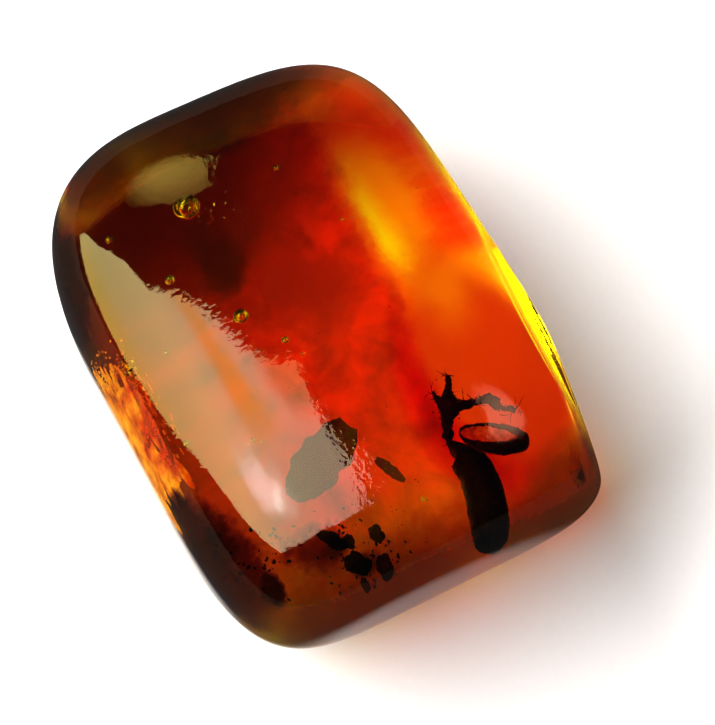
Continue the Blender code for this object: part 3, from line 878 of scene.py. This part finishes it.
class PIA_PG_plant(bpy.types.PropertyGroup):
    """Sizes and numbers of the plant pieces."""

    hairs: bpy.props.IntProperty(
        name="Hairs", description="Number of fine hairs on the sprig",
        default=90, min=0, max=500)
    hair_length: bpy.props.FloatProperty(
        name="Hair Length", description="Length of the longest hairs",
        default=0.42 * MM, subtype="DISTANCE", unit="LENGTH")
    specks: bpy.props.IntProperty(
        name="Specks", description="Number of fine specks of litter",
        default=260, min=0, max=2000)


class PIA_PG_stage(bpy.types.PropertyGroup):
    """Floor and light."""

    window: bpy.props.FloatProperty(
        name="Window", description="Brightness of the panes that polish shows",
        default=16.0, min=0.0)
    floor: bpy.props.FloatVectorProperty(
        name="Floor", description="Colour of the floor", subtype="COLOR",
        default=linear("eeeeee")[:3], min=0.0, max=1.0)
    room: bpy.props.FloatProperty(
        name="Room", description="Brightness of the room round the table", default=0.14, min=0.0)
    key: bpy.props.FloatProperty(
        name="Key", description="Brightness of the key light", default=17.2, min=0.0)


class PIA_OT_amber(bpy.types.Operator):
    """Build the amber cushion with its bubbles and fissures"""

    bl_idname = "pia.amber"
    bl_label = "Amber"

    def execute(self, context):
        settings = context.scene.pia_amber
        hollows = bmesh.new()
        for middle, radius in BUBBLES:
            detail = 4 if radius > LARGE_BUBBLE else 3
            add_blob(hollows, middle, (radius, radius, radius * BUBBLE_FLATNESS), None, detail)
        draw = random.Random(7)
        for middle, spread, count, (small, large) in FISSURES:
            for _ in range(count):
                place = [m + draw.gauss(0.0, 0.5) * s for m, s in zip(middle, spread)]
                radius = draw.uniform(small, large)
                tip = any_turn(draw)
                sizes = (radius, radius * draw.uniform(0.5, 1.0), radius * FISSURE_THINNESS)
                add_blob(hollows, place, sizes, tip, 2)
        bmesh.ops.reverse_faces(hollows, faces=hollows.faces[:])
        for wall in hollows.faces:
            wall.material_index = 1
        bm = cushion(settings.cuts)
        join(bm, hollows)
        finish_piece("amber_cushion", bm, [polished_amber(settings), hollow_wall()],
                     ("amber_upper", "amber_lower"), recalculate=False)
        return {"FINISHED"}


class PIA_OT_crazing(bpy.types.Operator):
    """Build the crazing under the worn side of the amber"""

    bl_idname = "pia.crazing"
    bl_label = "Crazing"

    def execute(self, context):
        draw = random.Random(33)
        bm = bmesh.new()
        for length, (thin, wide), (first, last), (low, high), count in CRAZING:
            for _ in range(count):
                stray = (last - first) * CRAZING_STRAY
                round_angle = math.radians(draw.triangular(first - stray, last + stray))
                rise_angle = math.radians(draw.triangular(
                    low, high + CRAZING_STRAY_UP, low + (high - low) * CRAZING_THICKEST))
                level = math.cos(rise_angle)
                surface = cushion_point(Vector((
                    math.cos(round_angle) * level, math.sin(round_angle) * level,
                    math.sin(rise_angle))))
                place = surface / MM + CRAZING_INWARD * draw.uniform(*CRAZING_DEPTHS)
                long = length * draw.uniform(0.5, 1.5)
                tilt = math.radians(draw.gauss(*CRAZING_TILT))
                tip = Euler((tilt, draw.gauss(0.0, CRAZING_SWAY), draw.gauss(0.0, CRAZING_SWAY)))
                sizes = (long, draw.uniform(thin, wide), CRAZING_THICKNESS)
                add_blob(bm, place, sizes, tip.to_quaternion(), 2)
        finish_piece("crazing_flakes", bm, [crazed()])
        return {"FINISHED"}


class PIA_OT_stem(bpy.types.Operator):
    """Build the ribbed, charred stem"""

    bl_idname = "pia.stem"
    bl_label = "Stem"

    def execute(self, context):
        bm = bmesh.new()
        add_tube(bm, smooth_between(STEM_PATH, STEM_STEPS), STEM_SIDES)
        roughen(bm, 0.05 * MM, 2.6, 3.0)
        charcoal = charred("stem_charcoal", "050403", "100d09", 0.2, 0.6)
        finish_piece("stem_fine", bm, [charcoal], ("stem",))
        return {"FINISHED"}


class PIA_OT_bract(bpy.types.Operator):
    """Build the thin oval bract"""

    bl_idname = "pia.bract"
    bl_label = "Bract"

    def execute(self, context):
        bm = bmesh.new()
        bmesh.ops.create_uvsphere(bm, u_segments=64, v_segments=32, radius=1.0)
        cut_off(bm, UP * BRACT_MOUTH, UP)
        bmesh.ops.scale(
            bm, verts=bm.verts[:], vec=(BRACT_HALF_LENGTH, BRACT_HALF_WIDTH, BRACT_DEPTH))
        tip = Matrix.Rotation(BRACT_TIP, 4, "X")
        turn = Matrix.Translation(BRACT_MIDDLE) @ Matrix.Rotation(BRACT_TURN, 4, "Z")
        bmesh.ops.transform(bm, matrix=turn @ tip, verts=bm.verts[:])
        bmesh.ops.solidify(bm, geom=bm.faces[:], thickness=BRACT_WALL)
        roughen(bm, 0.03 * MM, 2.2, 5.0)
        path = []
        for step in range(BRACT_RIM_STEPS + 1):
            angle = math.tau * step / BRACT_RIM_STEPS
            place = turn @ tip @ Vector((
                math.cos(angle) * BRACT_HALF_LENGTH, math.sin(angle) * BRACT_HALF_WIDTH,
                BRACT_MOUTH * BRACT_DEPTH))
            thick = (0.5 + 0.5 * math.cos(angle - BRACT_THICK_AT)) ** 1.6
            path.append((*(place / MM), BRACT_RIM_THIN + (BRACT_RIM_THICK - BRACT_RIM_THIN) * thick))
        rim = bmesh.new()
        add_tube(rim, path, BRACT_RIM_SIDES)
        roughen(rim, 0.05 * MM, 3.0, 8.0)
        for wall in rim.faces:
            wall.material_index = 1
        join(bm, rim)
        edge = charred("bract_charred_edge", "0c0706", "2c2018", 0.2, 0.5)
        finish_piece("bract_fine", bm, [bract_membrane(), edge], ("bract",))
        return {"FINISHED"}


def skinned_runs():
    """The sprig's runs as edges, with the skin of their radii made a mesh."""
    mesh = bpy.data.meshes.new("sprig_bones")
    names = list(SPRIG_POINTS)
    edges = [(names.index(a), names.index(b))
             for run in SPRIG_RUNS for a, b in zip(run, run[1:])]
    mesh.from_pydata([Vector(SPRIG_POINTS[key][:3]) * MM for key in names], edges, [])
    bones = put_in_scene("sprig_bones", mesh)
    bones.modifiers.new("skin", "SKIN").use_smooth_shade = True
    for key, vert in zip(names, mesh.skin_vertices[0].data):
        vert.radius = (SPRIG_POINTS[key][3] * MM,) * 2
        vert.use_root = key == "root"
    rounding = bones.modifiers.new("rounding", "SUBSURF")
    rounding.levels = rounding.render_levels = 3
    bm = bmesh.new()
    bm.from_object(bones, bpy.context.evaluated_depsgraph_get())
    bpy.data.objects.remove(bones, do_unlink=True)
    return bm


class PIA_OT_sprig(bpy.types.Operator):
    """Build the knotted sprig with its hairs"""

    bl_idname = "pia.sprig"
    bl_label = "Sprig"

    def execute(self, context):
        settings = context.scene.pia_plant
        bm = skinned_runs()
        roughen(bm, 0.09 * MM, 3.2, 9.0)
        hairs = bmesh.new()
        draw = random.Random(21)
        points = [Vector(point[:3]) for point in SPRIG_POINTS.values()]
        for _ in range(settings.hairs):
            root = points[draw.randrange(len(points))]
            start = root + Vector([draw.gauss(0, 0.08) for _ in range(3)])
            lean = Vector((draw.gauss(-0.6, 0.6), draw.gauss(-0.3, 0.6), draw.gauss(0.1, 0.3)))
            lean.normalize()
            long = settings.hair_length / MM * draw.uniform(0.3, 1.0)
            bend = Vector([draw.gauss(0, 0.25) for _ in range(3)])
            path = [(*(start + lean * long * t + bend * long * t * t), HAIR_RADIUS * (1.0 - 0.7 * t))
                    for t in (0.0, 0.33, 0.66, 1.0)]
            hair = bmesh.new()
            add_tube(hair, path, HAIR_SIDES)
            join(hairs, hair)
        join(bm, hairs)
        charcoal = charred("sprig_charcoal", "0c0604", "24140c", 0.1667, 0.6)
        finish_piece("sprig_fine", bm, [charcoal], ("sprig",))
        return {"FINISHED"}


class PIA_OT_leaf(bpy.types.Operator):
    """Build the leaf fragment and the flake"""

    bl_idname = "pia.leaf"
    bl_label = "Leaf"

    def execute(self, context):
        material = charred("leaf_dry", "1a120e", "3c302a", 0.4167, 0.6, 0.72)
        for name, (start, end, half_width, thickness, curl) in BLADES.items():
            bm = bmesh.new()
            bmesh.ops.create_grid(bm, x_segments=BLADE_CUTS[0], y_segments=BLADE_CUTS[1], size=1.0)
            start, end = Vector(start), Vector(end)
            along = end - start
            aside = along.cross(UP).normalized()
            for vert in bm.verts:
                t = (vert.co.x + 1.0) / 2.0
                side = vert.co.y
                width = half_width * math.sin(math.pi * (0.10 + 0.84 * t)) ** 0.7
                width *= 1.0 + 0.35 * noise.noise(Vector((t * 5.0, math.copysign(3.0, side), 0.0)))
                rib = RIB_HEIGHT * math.exp(-(side / RIB_WIDTH) ** 2)
                lift = curl * (side * side - 0.5 + 0.4 * math.sin(3.0 * t)) + rib
                vert.co = (start + along * t + aside * (side * width) + UP * lift) * MM
            bmesh.ops.solidify(bm, geom=bm.faces[:], thickness=thickness * MM)
            roughen(bm, 0.02 * MM, 3.0, 2.0)
            finish_piece(name + "_fine", bm, [material], (name,))
        return {"FINISHED"}


class PIA_OT_litter(bpy.types.Operator):
    """Build the crumbs and the fine specks of litter"""

    bl_idname = "pia.litter"
    bl_label = "Litter"

    def execute(self, context):
        material = charred("litter_dark", "0e0806", "2e1e12", 0.25, 0.7, 0.85)
        for number, (middle, half_sizes, turn) in enumerate(CRUMBS, start=1):
            bm = bmesh.new()
            turned = Matrix.Rotation(math.radians(turn), 3, "Z").to_quaternion()
            add_blob(bm, middle, half_sizes, turned, 5)
            roughen(bm, 0.11 * MM, 2.4, 4.0 * number)
            name = f"crumb_{number}"
            finish_piece(name + "_fine", bm, [material], (name,))
        draw = random.Random(5)
        shares = [cloud[3] for cloud in SPECK_CLOUDS]
        specks = bmesh.new()
        for _ in range(context.scene.pia_plant.specks):
            middle, spread, large, _ = draw.choices(SPECK_CLOUDS, shares)[0]
            place = [m + draw.gauss(0.0, 0.5) * s for m, s in zip(middle, spread)]
            radius = large * draw.uniform(0.25, 1.0)
            tip = any_turn(draw)
            speck = bmesh.new()
            add_blob(speck, place, (radius, radius * 0.7, radius * draw.uniform(0.2, 0.7)), tip, 1)
            join(specks, speck)
        finish_piece("litter_specks", specks, [material])
        return {"FINISHED"}


class PIA_OT_stage(bpy.types.Operator):
    """Set the camera, the floor, the key light and the panes of daylight"""

    bl_idname = "pia.stage"
    bl_label = "Stage"

    def execute(self, context):
        scene, settings = context.scene, context.scene.pia_stage
        set_camera()
        lay_floor(settings.floor)
        hang_panes(settings.window)
        hang_key(settings.key)
        light_room(settings.room)
        scene.view_settings.view_transform = "Standard"
        scene.cycles.max_bounces = LIGHT_BOUNCES
        scene.cycles.transmission_bounces = LIGHT_BOUNCES
        scene.cycles.sample_clamp_indirect = 10.0
        scene.cycles.blur_glossy = 0.5
        return {"FINISHED"}


class PIA_PT_sidebar(bpy.types.Panel):
    """Lists the makers of the pieces, with their settings"""

    bl_idname = "PIA_PT_sidebar"
    bl_label = "Plant in Amber"
    bl_space_type = "VIEW_3D"
    bl_region_type = "UI"
    bl_category = "Plant in Amber"

    def draw(self, context):
        layout = self.layout
        for group, makers in MAKERS:
            box = layout.box()
            settings = getattr(context.scene, group)
            for name in type(settings).__annotations__:
                box.prop(settings, name)
            for maker in makers:
                box.operator(maker.bl_idname)


MAKERS = (
    ("pia_amber", (PIA_OT_amber, PIA_OT_crazing)),
    ("pia_plant", (PIA_OT_stem, PIA_OT_bract, PIA_OT_sprig, PIA_OT_leaf, PIA_OT_litter)),
    ("pia_stage", (PIA_OT_stage,)),
)
GROUPS = {"pia_amber": PIA_PG_amber, "pia_plant": PIA_PG_plant, "pia_stage": PIA_PG_stage}
CLASSES = (*GROUPS.values(), *(maker for _, makers in MAKERS for maker in makers), PIA_PT_sidebar)


def register():
    for item in CLASSES:
        bpy.utils.register_class(item)
    for name, group in GROUPS.items():
        setattr(bpy.types.Scene, name, bpy.props.PointerProperty(type=group))


def unregister():
    for name in GROUPS:
        delattr(bpy.types.Scene, name)
    for item in reversed(CLASSES):
        bpy.utils.unregister_class(item)


def main():
    register()
    bpy.ops.pia.amber()
    bpy.ops.pia.crazing()
    bpy.ops.pia.stem()
    bpy.ops.pia.bract()
    bpy.ops.pia.sprig()
    bpy.ops.pia.leaf()
    bpy.ops.pia.litter()
    bpy.ops.pia.stage()


if __name__ == "__main__":
    main()
